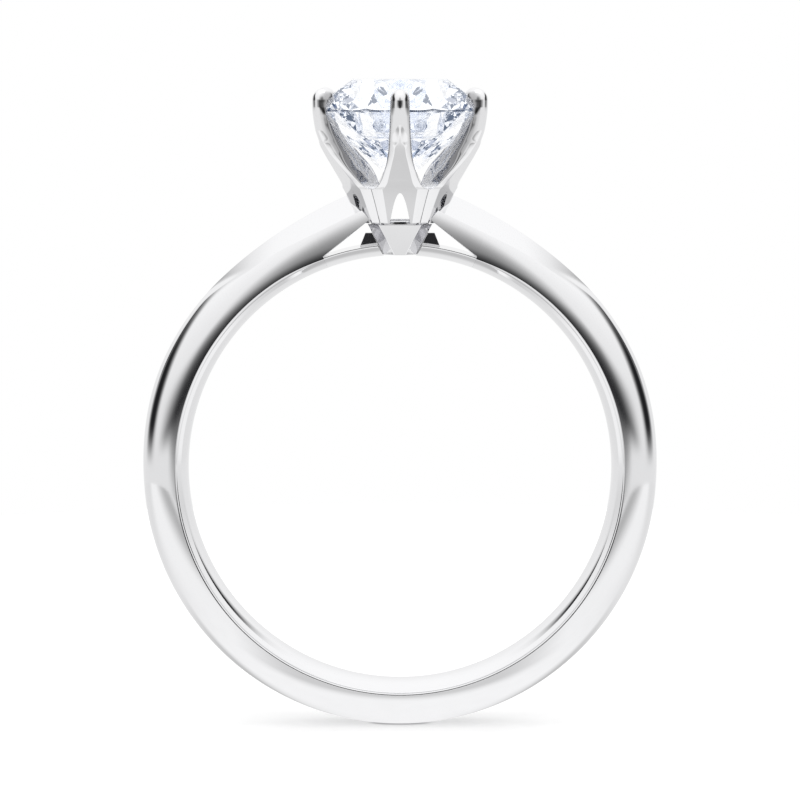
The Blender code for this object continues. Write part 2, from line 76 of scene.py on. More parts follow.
# Bridge, peg and gallery ring
BRIDGE_TOP = 9.18 * MM
BRIDGE_CLEARANCE = 0.04 * MM
GUSSET_TOP = 9.60 * MM
GUSSET_HALF_WIDTH = 0.25 * MM
GUSSET_TOP_ANGLE, GUSSET_FOOT_ANGLE = math.radians(8.4), math.radians(10.3)
PEG_TOP, PEG_FOOT = 9.97 * MM, 8.70 * MM
PEG_TOP_RADIUS, PEG_FOOT_RADIUS = 1.33 * MM, 0.675 * MM
PEG_TOP_DEPTH, PEG_FOOT_DEPTH = 0.98 * MM, 0.50 * MM
PEG_TOP_SIDE, PEG_FOOT_SIDE = 0.30 * MM, 0.15 * MM
PEG_CORNER = 0.45 * MM
GALLERY_RADIUS, GALLERY_HOLE = 1.20 * MM, 0.62 * MM
GALLERY_HEIGHT = 0.14 * MM

# Stone
GIRDLE_BOTTOM, GIRDLE_TOP = 14.55 * MM, 14.75 * MM
TABLE_RADIUS = 1.93 * MM
PAVILION_ANGLE = math.radians(40.8)
STAR_LENGTH = 0.50
LOWER_HALF_LENGTH = 0.77
GIRDLE_SIDES = 128
GIRDLE_LINE = BORE_CENTRE.z + (GIRDLE_BOTTOM + GIRDLE_TOP) / 2

# Claws
CLAW_COUNT = 6
CLAW_SECTOR = math.pi / CLAW_COUNT
CLAW_FOOT = 10.00 * MM
FOOT_CHAMFER = 0.16 * MM
WINDOW_TOP, WINDOW_HALF_WIDTH = 11.32 * MM, 0.42 * MM
ARCH_BOTTOM, ARCH_TOP = 11.47 * MM, 12.78 * MM
ARCH_POWER = 2.2
FACET_HALF_ANGLE = math.radians(17.4)
INNER_WIDTH = 0.78
NOTCH_DEPTH = 0.20 * MM
TIP_START, TIP_TOP = 15.08 * MM, 15.54 * MM
TIP_RADIUS, TIP_INNER_RADIUS = 3.60 * MM, 3.20 * MM
SEAM = 0.008 * MM
SEAT = 0.02 * MM
SINK = 0.99                        # the shoulders end this share of the way out to the head's side
SHOULDER_CUT_TOP = 12.20 * MM

# The camera looks level and its frame is shifted down
CAMERA_DISTANCE = 124 * MM
CAMERA_HEIGHT = 17.0 * MM          # above the bore's centre
FRAME_WIDTH = 32.85 * MM           # what the frame spans at the ring
HORIZON = 0.4346                   # horizon above the frame's centre, as a share of its width
SENSOR = 36.0

# Tones, as red, green, blue and alpha
WHITE = (1, 1, 1, 1)
FLAG_TONE = (0.015, 0.015, 0.017, 1)
FLAG_TONE_IN_STONE = (0.10, 0.16, 0.30, 1)
FLASH_TONE = (0.01, 0.05, 0.16, 1)
FLOOR_TONES = (0.84, 0.84, 0.84, 1), (0.88, 0.88, 0.88, 1)
FLOOR_GLOW = 0.22
# Painted tones of the floor seen through the stone: blue shade near the ring, light further out
FLOOR_PAINTED_TONES_IN_STONE = (0.20, 0.30, 0.50, 1), (1.1, 1.1, 1.1, 1)
# Painted shade in crevices, close to other surfaces
CREVICE_PAINTED_SHADE = (0.22, 0.22, 0.23, 1)
# Painted shade on the claws' sides
CLAW_SIDE_PAINTED_SHADE = (0.46, 0.46, 0.47, 1)
# Painted light: the metal as seen through the stone
METAL_PAINTED_LIGHT_IN_STONE = (0.92, 0.94, 0.98, 1)
# Painted shade: the broken dark line on the girdle
GIRDLE_PAINTED_SHADE_TONE = (0.05, 0.07, 0.12, 1)
# Painted blue glow of the stone, which is no lamp
STONE_PAINTED_GLOW_TONE = (0.33, 0.55, 1.0, 1)
STONE_PAINTED_GLOW = 0.01
DIAMOND_INDEX = 2.417              # refractive index

# How strongly the flags show, as shares of their full dark
FLAGS_IN_STONE = 0.6
FLAGS_LATER = 0.2                  # in the second reflection and later ones

LIGHT_IN_STONE = 1.25              # the surroundings seen through the stone, against outside it

# Light paths
BOUNCES = 24
REFLECTIONS = 16

# Floor and light, in metres and watts
FLOOR_RADIUS = 0.06
SOFTBOX_SIZE, SOFTBOX_HEIGHT, SOFTBOX_POWER = 0.30, 0.40, 0.15

# Modelling
CUTTER_REACH = 0.4 * MM            # how far a cutter goes past what it cuts
BORE_STEPS = 18                    # parts that the bore's outline is cut into across the band


def smooth_step(t):
    """0 below 0, 1 above 1, and smooth in between."""
    t = min(max(t, 0.0), 1.0)
    return t * t * (3 - 2 * t)


def profile(points):
    """A smooth curve through (height, value) points, both in millimetres, read in metres."""
    heights = [p[0] * MM for p in points]
    values = [p[1] * MM for p in points]
    last = len(points) - 1
    steps = [(values[i + 1] - values[i]) / (heights[i + 1] - heights[i]) for i in range(last)]
    slopes = [steps[0]]
    for before, after in zip(steps, steps[1:]):
        same_way = before * after > 0
        slopes.append(2 * before * after / (before + after) if same_way else 0.0)
    slopes.append(steps[-1])

    def read(height):
        height = min(max(height, heights[0]), heights[-1])
        i = max(k for k in range(last) if heights[k] <= height)
        span = heights[i + 1] - heights[i]
        t = (height - heights[i]) / span
        start = values[i] * (1 + 2 * t) * (1 - t) ** 2 + slopes[i] * span * t * (1 - t) ** 2
        end = values[i + 1] * t * t * (3 - 2 * t) + slopes[i + 1] * span * t * t * (t - 1)
        return start + end

    return read


claw_outside = profile([(10.0, 1.58), (11.2, 2.15), (11.6, 2.38), (12.0, 2.70), (12.4, 3.02),
                        (12.9, 3.41), (13.4, 3.72), (13.85, 3.90), (14.34, 4.00), (14.75, 4.05),
                        (15.08, 4.06)])
claw_thickness = profile([(10.0, 0.35), (11.0, 0.52), (11.6, 0.95), (12.0, 1.22), (12.4, 1.30),
                          (12.9, 1.26), (13.4, 1.12), (14.0, 0.94), (14.6, 0.84), (15.08, 0.80)])
claw_half_width = profile([(12.2, 0.58), (13.0, 0.485), (14.0, 0.425), (14.6, 0.40), (15.08, 0.39)])
claw_flat = profile([(11.47, 0.724), (11.6, 0.59), (11.76, 0.50), (12.16, 0.41), (12.57, 0.325),
                     (12.98, 0.24), (13.3, 0.215), (13.5, 0.16), (15.08, 0.16)])
claw_rounding = profile([(11.47, 0.0), (12.2, 0.10), (13.0, 0.24), (13.7, 0.28), (15.08, 0.28)])
# How far each edge of a claw is rounded: of its flat front, and of its sides
front_softness = profile([(10.0, 0.03), (13.1, 0.03), (13.9, 0.5), (15.08, 0.5)])
side_softness = profile([(10.0, 0.03), (11.47, 0.03), (11.9, 0.10), (12.6, 0.14), (13.6, 0.5),
                         (15.08, 0.5)])


# Node graphs


class Graph:
    """Short ways to wire a node tree."""

    def __init__(self, tree):
        self.tree = tree
        tree.nodes.clear()

    def put(self, socket, value):
        if isinstance(value, bpy.types.NodeSocket):
            self.tree.links.new(value, socket)
        else:
            socket.default_value = value

    def add(self, kind, inputs, **settings):
        node = self.tree.nodes.new(kind)
        for key, value in settings.items():
            setattr(node, key, value)
        for key, value in inputs.items():
            self.put(node.inputs[key], value)
        return node

    def math(self, operation, *values):
        node = self.add("ShaderNodeMath", dict(enumerate(values)), operation=operation)
        return node.outputs[0]

    def vector(self, operation, *values):
        node = self.add("ShaderNodeVectorMath", dict(enumerate(values)), operation=operation)
        return node.outputs[0]

    def part(self, vector, axis):
        """One of a vector's three numbers."""
        return self.add("ShaderNodeSeparateXYZ", {"Vector": vector}).outputs[axis]

    def ramp(self, value, start, end, low=0.0, high=1.0):
        """low up to start, high from end on, and smooth in between."""
        inputs = {"Value": value, "From Min": start, "From Max": end, "To Min": low, "To Max": high}
        node = self.add("ShaderNodeMapRange", inputs, interpolation_type="SMOOTHSTEP")
        return node.outputs["Result"]

    def mix(self, factor, a, b):
        """A colour between a and b."""
        node = self.add("ShaderNodeMix", {0: factor, 6: a, 7: b}, data_type="RGBA")
        return node.outputs[2]

    def noise(self, vector, scale, detail=2.0):
        inputs = {"Vector": vector, "Scale": scale, "Detail": detail}
        return self.add("ShaderNodeTexNoise", inputs).outputs["Fac"]


# Studio


def seen_through_stone(g, path):
    """1 for light that has passed into the stone on its way, 0 for the rest."""
    return g.math("GREATER_THAN", path.outputs["Transmission Depth"], 0.5)


def studio_world():
    """White all round, with dark flags that only reflections see.

    Turn is how far round from the camera's side a direction points, the same to the left and to the
    right, and level is how far above the horizon. Both are in degrees.
    """
    world = bpy.data.worlds.new("studio")
    bpy.context.scene.world = world
    world.use_nodes = True
    g = Graph(world.node_tree)
    direction = g.add("ShaderNodeTexCoord", {}).outputs["Generated"]
    x, y, z = g.add("ShaderNodeSeparateXYZ", {"Vector": direction}).outputs
    level = g.math("DEGREES", g.math("ARCSINE", z))
    across = g.math("ABSOLUTE", x)
    turn = g.math("DEGREES", g.math("ARCTAN2", across, g.math("MULTIPLY", y, -1.0)))

    # A dark strip in front, across the horizon
    strip_foot = g.math("SUBTRACT", level, g.ramp(turn, 5, 30, 0.0, 1.5))
    strip_head = g.math("ADD", level, g.ramp(turn, 5, 20, 3.0, 0.0))
    strip_level = g.math("MULTIPLY", g.ramp(strip_foot, -8, -4), g.ramp(strip_head, -5, 10, 1.0, 0.0))
    strip = g.math("MULTIPLY", g.ramp(turn, 5, 60, 0.97, 0.0), strip_level)

    # A grey column in front, which fades upwards
    column_level = g.math("MULTIPLY", g.ramp(level, -11, -6), g.ramp(level, 4, 50, 0.52, 0.0))
    column = g.math("MULTIPLY", g.ramp(turn, 0, 25, 1.0, 0.0), column_level)

    # An upright flag at each side, leaning back
    lean = g.ramp(level, 8, 36, 0.0, 20.0)
    off_middle = g.math("ABSOLUTE", g.math("SUBTRACT", g.math("SUBTRACT", turn, lean), 94.0))
    flag_wide = g.ramp(off_middle, 3, 32, 0.95, 0.0)
    flag_level = g.math("MULTIPLY", g.ramp(level, -9, 2), g.ramp(level, 14, 50, 1.0, 0.0))
    flag = g.math("MULTIPLY", flag_wide, flag_level)

    # A thin dark arc behind the ring, from near the horizon to half-way up
    line_wide = g.math("MULTIPLY", g.ramp(y, 0.40, 0.44), g.ramp(y, 0.48, 0.52, 1.0, 0.0))
    line_high = g.math("MULTIPLY", g.ramp(z, 0.1, 0.3, 0.0, 0.9), g.ramp(z, 0.42, 0.60, 1.0, 0.0))
    line = g.math("MULTIPLY", line_wide, line_high)

    path = g.add("ShaderNodeLightPath", {})
    in_stone = seen_through_stone(g, path)
    first = g.math("LESS_THAN", path.outputs["Ray Depth"], 2.5)
    outside_stone = g.math("MAXIMUM", first, FLAGS_LATER)
    kept = g.math("MAXIMUM", g.math("MULTIPLY", in_stone, FLAGS_IN_STONE), outside_stone)
    lit = 1.0
    for dark in (strip, column, flag, line):
        lit = g.math("MULTIPLY", lit, g.math("SUBTRACT", 1.0, g.math("MULTIPLY", dark, kept)))
    sides = g.ramp(level, -6, 60, 0.96, 1.18)
    lift = g.ramp(in_stone, 0, 1, 1.0, LIGHT_IN_STONE)
    light = g.math("MULTIPLY", g.math("MULTIPLY", lit, sides), lift)

    shade = g.mix(in_stone, FLAG_TONE, FLAG_TONE_IN_STONE)
    white = g.add("ShaderNodeCombineXYZ", {0: light, 1: light, 2: light}).outputs[0]
    around = g.mix(g.math("MINIMUM", light, 1.0), shade, white)
    flash = g.math("MULTIPLY", in_stone, g.ramp(level, 46, 54))
    tone = g.mix(flash, around, FLASH_TONE)
    seen = g.add("ShaderNodeBackground", {"Color": WHITE, "Strength": 1.0})
    lighting = g.add("ShaderNodeBackground", {"Color": tone, "Strength": 1.0})
    pick = g.add("ShaderNodeMixShader", {0: path.outputs["Is Camera Ray"]})
    g.put(pick.inputs[1], lighting.outputs[0])
    g.put(pick.inputs[2], seen.outputs[0])
    g.add("ShaderNodeOutputWorld", {"Surface": pick.outputs[0]})


def overhead_softbox():
    """A large square light straight above, which draws the soft contact shadow."""
    lamp = bpy.data.lights.new("overhead_softbox", "AREA")
    lamp.size = SOFTBOX_SIZE
    lamp.energy = SOFTBOX_POWER
    holder = bpy.data.objects.new("overhead_softbox", lamp)
    holder.location = (0, 0, SOFTBOX_HEIGHT)
    bpy.context.scene.collection.objects.link(holder)


def floor_material():
    """Matt white, nearly burnt out to the eye. The metal mirrors softer tones of it, a painted image
    with painted light and painted shadows.
    """
    made = bpy.data.materials.new("pale_floor")
    made.use_nodes = True
    g = Graph(made.node_tree)
    place = g.add("ShaderNodeTexCoord", {}).outputs["Object"]
    fibre = g.noise(place, 900.0, 4.0)
    tone = g.mix(fibre, *FLOOR_TONES)
    matt = g.add("ShaderNodeBsdfDiffuse", {"Color": tone})
    glow = g.add("ShaderNodeEmission", {"Color": WHITE, "Strength": FLOOR_GLOW})
    seen = g.add("ShaderNodeAddShader", {0: matt.outputs[0], 1: glow.outputs[0]})

    distance = g.add("ShaderNodeVectorMath", {0: place}, operation="LENGTH").outputs["Value"]
    x, y, _ = g.add("ShaderNodeSeparateXYZ", {"Vector": place}).outputs
    # Painted light in front of the ring and painted shade behind it, and nearly even further out
    near = g.ramp(y, -0.001, 0.002, 1.12, 0.60)
    far = g.ramp(y, -0.010, 0.010, 1.08, 0.90)
    open_floor = g.ramp(distance, 0.006, 0.018)
    # Two painted soft shadows: one straight in front, and one further off at each side of it
    across = g.math("ABSOLUTE", x)
    shade_reach = g.math("MULTIPLY", g.ramp(y, -0.006, -0.003, 1.0, 0.0), g.ramp(y, -0.035, -0.009))
    shade = g.math("MULTIPLY", g.ramp(across, 0.004, 0.010, 0.33, 0.0), shade_reach)
    lit = g.math("ADD", g.math("MULTIPLY", near, g.math("SUBTRACT", 1.0, open_floor)),
                 g.math("MULTIPLY", far, open_floor))
    front_reach = g.math("MULTIPLY", g.ramp(y, -0.060, -0.046), g.ramp(y, -0.045, -0.018, 0.50, 0.0))
    front = g.math("MULTIPLY", g.ramp(across, 0.006, 0.014), front_reach)
    level = g.math("MULTIPLY", lit, g.math("SUBTRACT", 1.0, g.math("MAXIMUM", shade, front)))
    path = g.add("ShaderNodeLightPath", {})
    # Painted tones seen through the stone: blue shade near the ring, painted light further out
    through = g.mix(g.ramp(distance, 0.004, 0.012), *FLOOR_PAINTED_TONES_IN_STONE)
    grey = g.add("ShaderNodeCombineXYZ", {0: level, 1: level, 2: level}).outputs[0]
    image = g.mix(seen_through_stone(g, path), grey, through)
    strength = g.ramp(fibre, 0, 1, 0.98, 1.02)
    # Reflections and rays through the stone see this painted light and shade as a glow
    painted_floor_image = g.add("ShaderNodeEmission", {"Color": image, "Strength": strength})

    pick = g.add("ShaderNodeMixShader", {0: path.outputs["Is Camera Ray"]})
    g.put(pick.inputs[1], painted_floor_image.outputs[0])
    g.put(pick.inputs[2], seen.outputs[0])
    g.add("ShaderNodeOutputMaterial", {"Surface": pick.outputs[0]})
    return made


def pale_floor():
    shape = bmesh.new()
    bmesh.ops.create_circle(shape, cap_ends=True, segments=96, radius=FLOOR_RADIUS)
    mesh = bpy.data.meshes.new("floor")
    shape.to_mesh(mesh)
    shape.free()
    mesh.materials.append(floor_material())
    floor = bpy.data.objects.new("floor", mesh)
    bpy.context.scene.collection.objects.link(floor)


def camera():
    """A level camera whose lens shift fades out within a millimetre of its own place."""
    data = bpy.data.cameras.new("camera")
    data.sensor_width = SENSOR
    data.lens = SENSOR * CAMERA_DISTANCE / FRAME_WIDTH
    data.clip_start = 1 * MM
    made = bpy.data.objects.new("camera", data)
    mark = bpy.data.objects.new("camera_place", None)
    for thing in (made, mark):
        bpy.context.scene.collection.objects.link(thing)
        thing.location = BORE_CENTRE + Vector((0, -CAMERA_DISTANCE, CAMERA_HEIGHT))
    made.rotation_euler = (math.radians(90), 0, 0)
    bpy.context.scene.camera = made
    curve = data.driver_add("shift_y")
    for modifier in list(curve.modifiers):
        curve.modifiers.remove(modifier)
    slope = curve.modifiers.new("GENERATOR")
    slope.coefficients = (-HORIZON, HORIZON / MM)
    top = curve.modifiers.new("LIMITS")
    top.use_max_y = True
    top.max_y = 0.0
    curve.driver.type = "SUM"
    moved = curve.driver.variables.new()
    moved.type = "LOC_DIFF"
    moved.targets[0].id = made
    moved.targets[1].id = mark


# Materials


def platinum(name, colour, roughness, reach, side_shade=0.0):
    """Polished platinum: a mirror with the faint haze and hairlines that a polishing mop leaves.

    It carries painted shade within its reach of what stands close to it, and painted shade by side_shade
    on the faces that look round the head and not out from it. Seen through the stone it is painted
    light.
    """
    made = bpy.data.materials.new(name)
    made.use_nodes = True
    g = Graph(made.node_tree)
    place = g.add("ShaderNodeTexCoord", {}).outputs["Object"]
    cloud = g.noise(place, 260.0, 3.0)
    fine = g.noise(place, 9000.0, 3.0)
    stretched = g.add("ShaderNodeMapping", {"Vector": place, "Scale": (900.0, 14000.0, 900.0)})
    hairline = g.ramp(g.noise(stretched.outputs[0], 1.0, 4.0), 0.60, 0.72)
    darker = tuple(c * 0.96 for c in colour) + (1,)
    polished = g.mix(cloud, darker, tuple(colour) + (1,))
    # Painted shade: occlusion darkens the colour within reach of close surfaces
    open_air = g.add("ShaderNodeAmbientOcclusion", {"Distance": reach}, samples=8).outputs["AO"]
    crevice_painted_shade = g.mix(g.ramp(open_air, 0.15, 0.80), CREVICE_PAINTED_SHADE, polished)
    # Painted shade on faces that look round the head, by side_shade
    facing = g.add("ShaderNodeNewGeometry", {}).outputs["Normal"]
    flat_place = g.vector("MULTIPLY", place, (1, 1, 0))
    sideways = g.vector("CROSS_PRODUCT", g.vector("NORMALIZE", flat_place), facing)
    round_head = g.math("ABSOLUTE", g.part(sideways, 2))
    shaded = g.mix(g.ramp(round_head, 0.60, 0.95, 0.0, side_shade), crevice_painted_shade, CLAW_SIDE_PAINTED_SHADE)
    # Painted light: seen through the stone the metal takes a set light tone
    in_stone = seen_through_stone(g, g.add("ShaderNodeLightPath", {}))
    tone = g.mix(in_stone, shaded, METAL_PAINTED_LIGHT_IN_STONE)
    haze = g.ramp(cloud, 0.3, 0.7, roughness * 0.8, roughness * 1.25)
    rough = g.math("ADD", haze, g.math("MULTIPLY", hairline, 0.03))
    height = g.math("ADD", g.math("MULTIPLY", fine, 0.5), g.math("MULTIPLY", hairline, -0.5))
    bump = g.add("ShaderNodeBump", {"Height": height, "Strength": 0.05, "Distance": 0.002 * MM})
    inputs = {"Base Color": tone, "Metallic": 1.0, "Roughness": rough, "Normal": bump.outputs[0]}
    surface = g.add("ShaderNodeBsdfPrincipled", inputs)
    g.add("ShaderNodeOutputMaterial", {"Surface": surface.outputs[0]})
    return made


def diamond_material():
    """Clear, with a faint painted blue glow. The girdle is fine-ground and carries a broken dark line of
    painted shade.
    """
    made = bpy.data.materials.new("diamond")
    made.use_nodes = True
    g = Graph(made.node_tree)
    facing = g.add("ShaderNodeNewGeometry", {}).outputs["True Normal"]
    upright = g.math("ABSOLUTE", g.part(facing, 2))
    girdle = g.math("LESS_THAN", upright, 0.02)
    place = g.add("ShaderNodeTexCoord", {}).outputs["Object"]
    cloud = g.noise(place, 2500.0, 3.0)
    ground = g.ramp(cloud, 0.35, 0.65, 0.04, 0.12)
    # Painted shade: a broken dark line along the middle of the girdle
    height = g.math("SUBTRACT", g.part(place, 2), GIRDLE_LINE)
    near_line = g.ramp(g.math("ABSOLUTE", height), 0.03 * MM, 0.05 * MM, 1.0, 0.0)
    line = g.math("MULTIPLY", g.math("MULTIPLY", girdle, near_line), g.ramp(cloud, 0.42, 0.50))
    tone = g.mix(line, WHITE, GIRDLE_PAINTED_SHADE_TONE)
    # The emission is a painted blue glow
    inputs = {"Base Color": tone, "Roughness": g.math("MULTIPLY", girdle, ground),
              "IOR": DIAMOND_INDEX, "Transmission Weight": 1.0,
              "Emission Color": STONE_PAINTED_GLOW_TONE, "Emission Strength": STONE_PAINTED_GLOW}
    surface = g.add("ShaderNodeBsdfPrincipled", inputs)
    g.add("ShaderNodeOutputMaterial", {"Surface": surface.outputs[0]})
    return made


# Mesh helpers


def add_piece(name, shape, finish, nodes, smooth_angle=None):
    """Makes a bmesh, given from the bore's centre, one piece that stands for CAD nodes."""
    bmesh.ops.recalc_face_normals(shape, faces=shape.faces)
    bmesh.ops.translate(shape, vec=BORE_CENTRE, verts=shape.verts)
    mesh = bpy.data.meshes.new(name)
    shape.to_mesh(mesh)
    shape.free()
    if smooth_angle is not None:
        mesh.shade_smooth()
        mesh.set_sharp_from_angle(angle=math.radians(smooth_angle))
    mesh.materials.append(finish)
    piece = bpy.data.objects.new(name, mesh)
    bpy.context.scene.collection.objects.link(piece)
    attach(piece, "root")
    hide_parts(*nodes)
    return piece


def loft(loops):
    """Skins equal-length closed loops and caps both ends."""
    shape = bmesh.new()
    rings = [[shape.verts.new(p) for p in loop] for loop in loops]
    count = len(rings[0])
    for ring, following in zip(rings, rings[1:]):
        for i in range(count):
            j = (i + 1) % count
            shape.faces.new((ring[i], ring[j], following[j], following[i]))
    shape.faces.new(rings[0])
    shape.faces.new(rings[-1])
    bmesh.ops.remove_doubles(shape, verts=shape.verts, dist=1e-7)
    bmesh.ops.recalc_face_normals(shape, faces=shape.faces)
    return shape


def turned(outline, sides):
    """A closed solid of revolution about Z. The outline's first and last points are on the axis."""
    shape = bmesh.new()
    foot = shape.verts.new((0, 0, outline[0][1]))
    top = shape.verts.new((0, 0, outline[-1][1]))
    rings = []
    for radius, height in outline[1:-1]:
        ring = []
        for i in range(sides):
            a = 2 * math.pi * i / sides
            ring.append(shape.verts.new((radius * math.cos(a), radius * math.sin(a), height)))
        rings.append(ring)
    for i in range(sides):
        j = (i + 1) % sides
        shape.faces.new((foot, rings[0][j], rings[0][i]))
        shape.faces.new((top, rings[-1][i], rings[-1][j]))
        for ring, following in zip(rings, rings[1:]):
            shape.faces.new((ring[i], ring[j], following[j], following[i]))
    bmesh.ops.recalc_face_normals(shape, faces=shape.faces)
    return shape


def as_object(name, shape):
    mesh = bpy.data.meshes.new(name)
    shape.to_mesh(mesh)
    shape.free()
    made = bpy.data.objects.new(name, mesh)
    bpy.context.scene.collection.objects.link(made)
    return made


def cut(shape, cutter_shape):
    """The shape less the cutter, as a new bmesh."""
    target, cutter = as_object("target", shape), as_object("cutter", cutter_shape)
    modifier = target.modifiers.new("cut", "BOOLEAN")
    modifier.operation = "DIFFERENCE"
    modifier.object = cutter
    modifier.solver = "EXACT"
    graph = bpy.context.evaluated_depsgraph_get()
    result = bmesh.new()
    result.from_object(target, graph)
    for used in (target, cutter):
        mesh = used.data
        bpy.data.objects.remove(used)
        bpy.data.meshes.remove(mesh)
    return result


def bevel(piece, width, segments=3, angle=30):
    """Rounds a piece's sharp edges."""
    made = piece.modifiers.new("edges", "BEVEL")
    made.width = width
    made.segments = segments
    made.limit_method = "ANGLE"
    made.angle_limit = math.radians(angle)
    made.harden_normals = True
    made.use_clamp_overlap = True


def rounded(corners, radii, steps=5):
    """An open outline that starts on its mirror line, with each inner corner made a short curve.

    A curve takes less than half of each side, but nearly all of the first, which is cut by the mirror.
    """
    points = [corners[0]]
    for before, corner, after, radius in zip(corners, corners[1:], corners[2:], radii):
        share = 0.98 if before is corners[0] else 0.49
        back, on = before - corner, after - corner
        start = corner + back.normalized() * min(radius, share * back.length)
        end = corner + on.normalized() * min(radius, 0.49 * on.length)
        for i in range(steps + 1):
            t = i / steps
            points.append(start * (1 - t) ** 2 + corner * 2 * t * (1 - t) + end * t * t)
    return points + [corners[-1]]


# Band


def band_top(angle):
    """Distance of the band's outermost line from the bore's axis."""
    swell = SWELL * smooth_step((SWELL_FROM - angle) / (SWELL_FROM - SWELL_TO))
    climb = max(0.0, (RISE_FROM - angle) / RISE_FROM) ** RISE_POWER
    return BAND_RADIUS + swell + RISE * climb


def bore_radius(across):
    """The comfort-fit bore: tightest in the middle of the band."""
    return BORE_RADIUS + COMFORT_RISE * (across / (BAND_WIDTH / 2)) ** 2


BORE_EDGE = bore_radius(BAND_WIDTH / 2)
BORE_EDGE_SLOPE = 4 * COMFORT_RISE / BAND_WIDTH


def flank_half_width(radius, angle):
    """Half the band's width at a distance from the bore's axis, on its domed side."""
    reach = max(0.0, radius - BORE_EDGE) / (band_top(angle) - BORE_EDGE)
    return BAND_WIDTH / 2 * (1 - reach**DOME_POWER) ** (1 / DOME_POWER)


def dome_radius(across, angle):
    """Height of the dome at a distance across the band."""
    fall = (1 - (across / (BAND_WIDTH / 2)) ** DOME_POWER) ** (1 / DOME_POWER)
    return BORE_EDGE + (band_top(angle) - BORE_EDGE) * fall


def underside_radius(angle):
    """Distance of the shoulder's straight underside from the bore's axis."""
    start = BRIDGE_TOP + BRIDGE_CLEARANCE
    level = start * (math.cos(SPLIT_ANGLE) + UNDERSIDE_SLOPE * math.sin(SPLIT_ANGLE))
    return level / (math.cos(angle) + UNDERSIDE_SLOPE * math.sin(angle))


def lower_edge(lowest, slope, size):
    """The rounded edge between a surface that falls away inward by slope and the upright flank."""
    wide = math.hypot(1, slope)
    middle = Vector((BAND_WIDTH / 2 - size, lowest + (wide - slope) * size))
    first = math.atan2(1, -slope)
    points = []
    for i in range(7):
        turn = -first * (1 - i / 6)
        points.append(middle + Vector((math.cos(turn), math.sin(turn))) * size)
    return points


def outer_half(angle, edge):
    """Half of the band's outline, from its rounded lower edge up to the ridge."""
    crease = CREASE_RADIUS / math.cos(max(0.0, CREASE_STRAIGHT - angle))
    crease_across = flank_half_width(crease, angle)
    start = edge[-1].y
    points = list(edge)
    for t in (0.01, 0.08, 0.2, 0.35, 0.5, 0.65, 0.8, 0.92, 0.98):
        radius = start + (crease - start) * t
        points.append(Vector((flank_half_width(radius, angle), radius)))
    ridge = dome_radius(RIDGE_FLAT / 2, angle)
    for t in (0, 0.02, 0.06, 0.14, 0.25, 0.37, 0.5, 0.63, 0.76, 0.88, 0.96, 0.99, 1.0):
        across = crease_across + (RIDGE_FLAT / 2 - crease_across) * t
        dome = dome_radius(across, angle)
        flat = crease + (ridge - crease) * t
        begins = FACET_FULL + (FACET_FROM - FACET_FULL) * t
        share = smooth_step((begins - angle) / (FACET_FROM - FACET_FULL) + 0.5)
        points.append(Vector((across, dome + (flat - dome) * share)))
    for corner in points[:len(edge)]:
        corner.x = min(corner.x, flank_half_width(max(corner.y, BORE_EDGE), angle))
    return points


def band_section(angle, on_shoulder):
    """The closed outline of the band at an angle from the top, as (across, radius) points."""
    if on_shoulder:
        lowest = underside_radius(angle)
        edge = lower_edge(lowest, 0.0, EDGE_ROUND_SPLIT)
        edge = [Vector((p.x - BAND_WIDTH / 2 + flank_half_width(lowest, angle), p.y)) for p in edge]
    else:
        share = smooth_step((angle - SPLIT_ANGLE) / (EDGE_ROUND_FROM - SPLIT_ANGLE))
        size = EDGE_ROUND_SPLIT + (EDGE_ROUND - EDGE_ROUND_SPLIT) * share
        edge = lower_edge(BORE_EDGE, BORE_EDGE_SLOPE, size)
    half = outer_half(angle, edge)
    outline = half + [Vector((-p.x, p.y)) for p in reversed(half)]
    for i in range(1, BORE_STEPS):
        across = edge[0].x * (2 * i / BORE_STEPS - 1)
        outline.append(Vector((across, lowest if on_shoulder else bore_radius(across))))
    return outline


def place_section(outline, angle):
    """Stands a section up at its angle from the top."""
    return [(r * math.sin(angle), y, r * math.cos(angle)) for y, r in outline]


def head_envelope():
    """A turned solid just inside the head's surface, where the shoulders end."""
    rows = 12
    foot, top = CLAW_FOOT - CUTTER_REACH, SHOULDER_CUT_TOP
    outline = [(0.0, foot)]
    for i in range(rows + 1):
        height = foot + (top - foot) * i / rows
        outline.append((claw_outside(height) * SINK, height))
    outline.append((0.0, top))
    return turned(outline, 96)


def build_band(finish):
    loops = []
    shoulder, band = 26, 320
    for i in range(shoulder + 1):
        angle = SHOULDER_END + (SPLIT_ANGLE - SHOULDER_END) * i / shoulder
        loops.append(place_section(band_section(angle, True), angle))
    for i in range(band + 1):
        angle = SPLIT_ANGLE + (2 * math.pi - 2 * SPLIT_ANGLE) * i / band
        loops.append(place_section(band_section(min(angle, 2 * math.pi - angle), False), angle))
    for i in range(shoulder + 1):
        angle = SPLIT_ANGLE + (SHOULDER_END - SPLIT_ANGLE) * i / shoulder
        loops.append(place_section(band_section(angle, True), -angle))
    shape = cut(loft(loops), head_envelope())
    return add_piece("band", shape, finish, ["shank"], 18)


# Bridge, peg and gallery ring


def gusset_top(angle):
    gusset = GUSSET_TOP / math.cos(min(angle, GUSSET_TOP_ANGLE))
    fall = (angle - GUSSET_TOP_ANGLE) / (GUSSET_FOOT_ANGLE - GUSSET_TOP_ANGLE)
    return gusset + (BRIDGE_TOP - gusset) * min(max(fall, 0.0), 1.0)


def peg_radius(height):
    share = (height - PEG_FOOT) / (PEG_TOP - PEG_FOOT)
    return PEG_FOOT_RADIUS + (PEG_TOP_RADIUS - PEG_FOOT_RADIUS) * share


def peg_slot():
    loops = []
    for height in (PEG_FOOT - CUTTER_REACH, PEG_TOP + CUTTER_REACH):
        x, y = peg_radius(height) + SEAM, BAND_WIDTH
        loops.append([(x, -y, height), (x, y, height), (-x, y, height), (-x, -y, height)])
    return loft(loops)


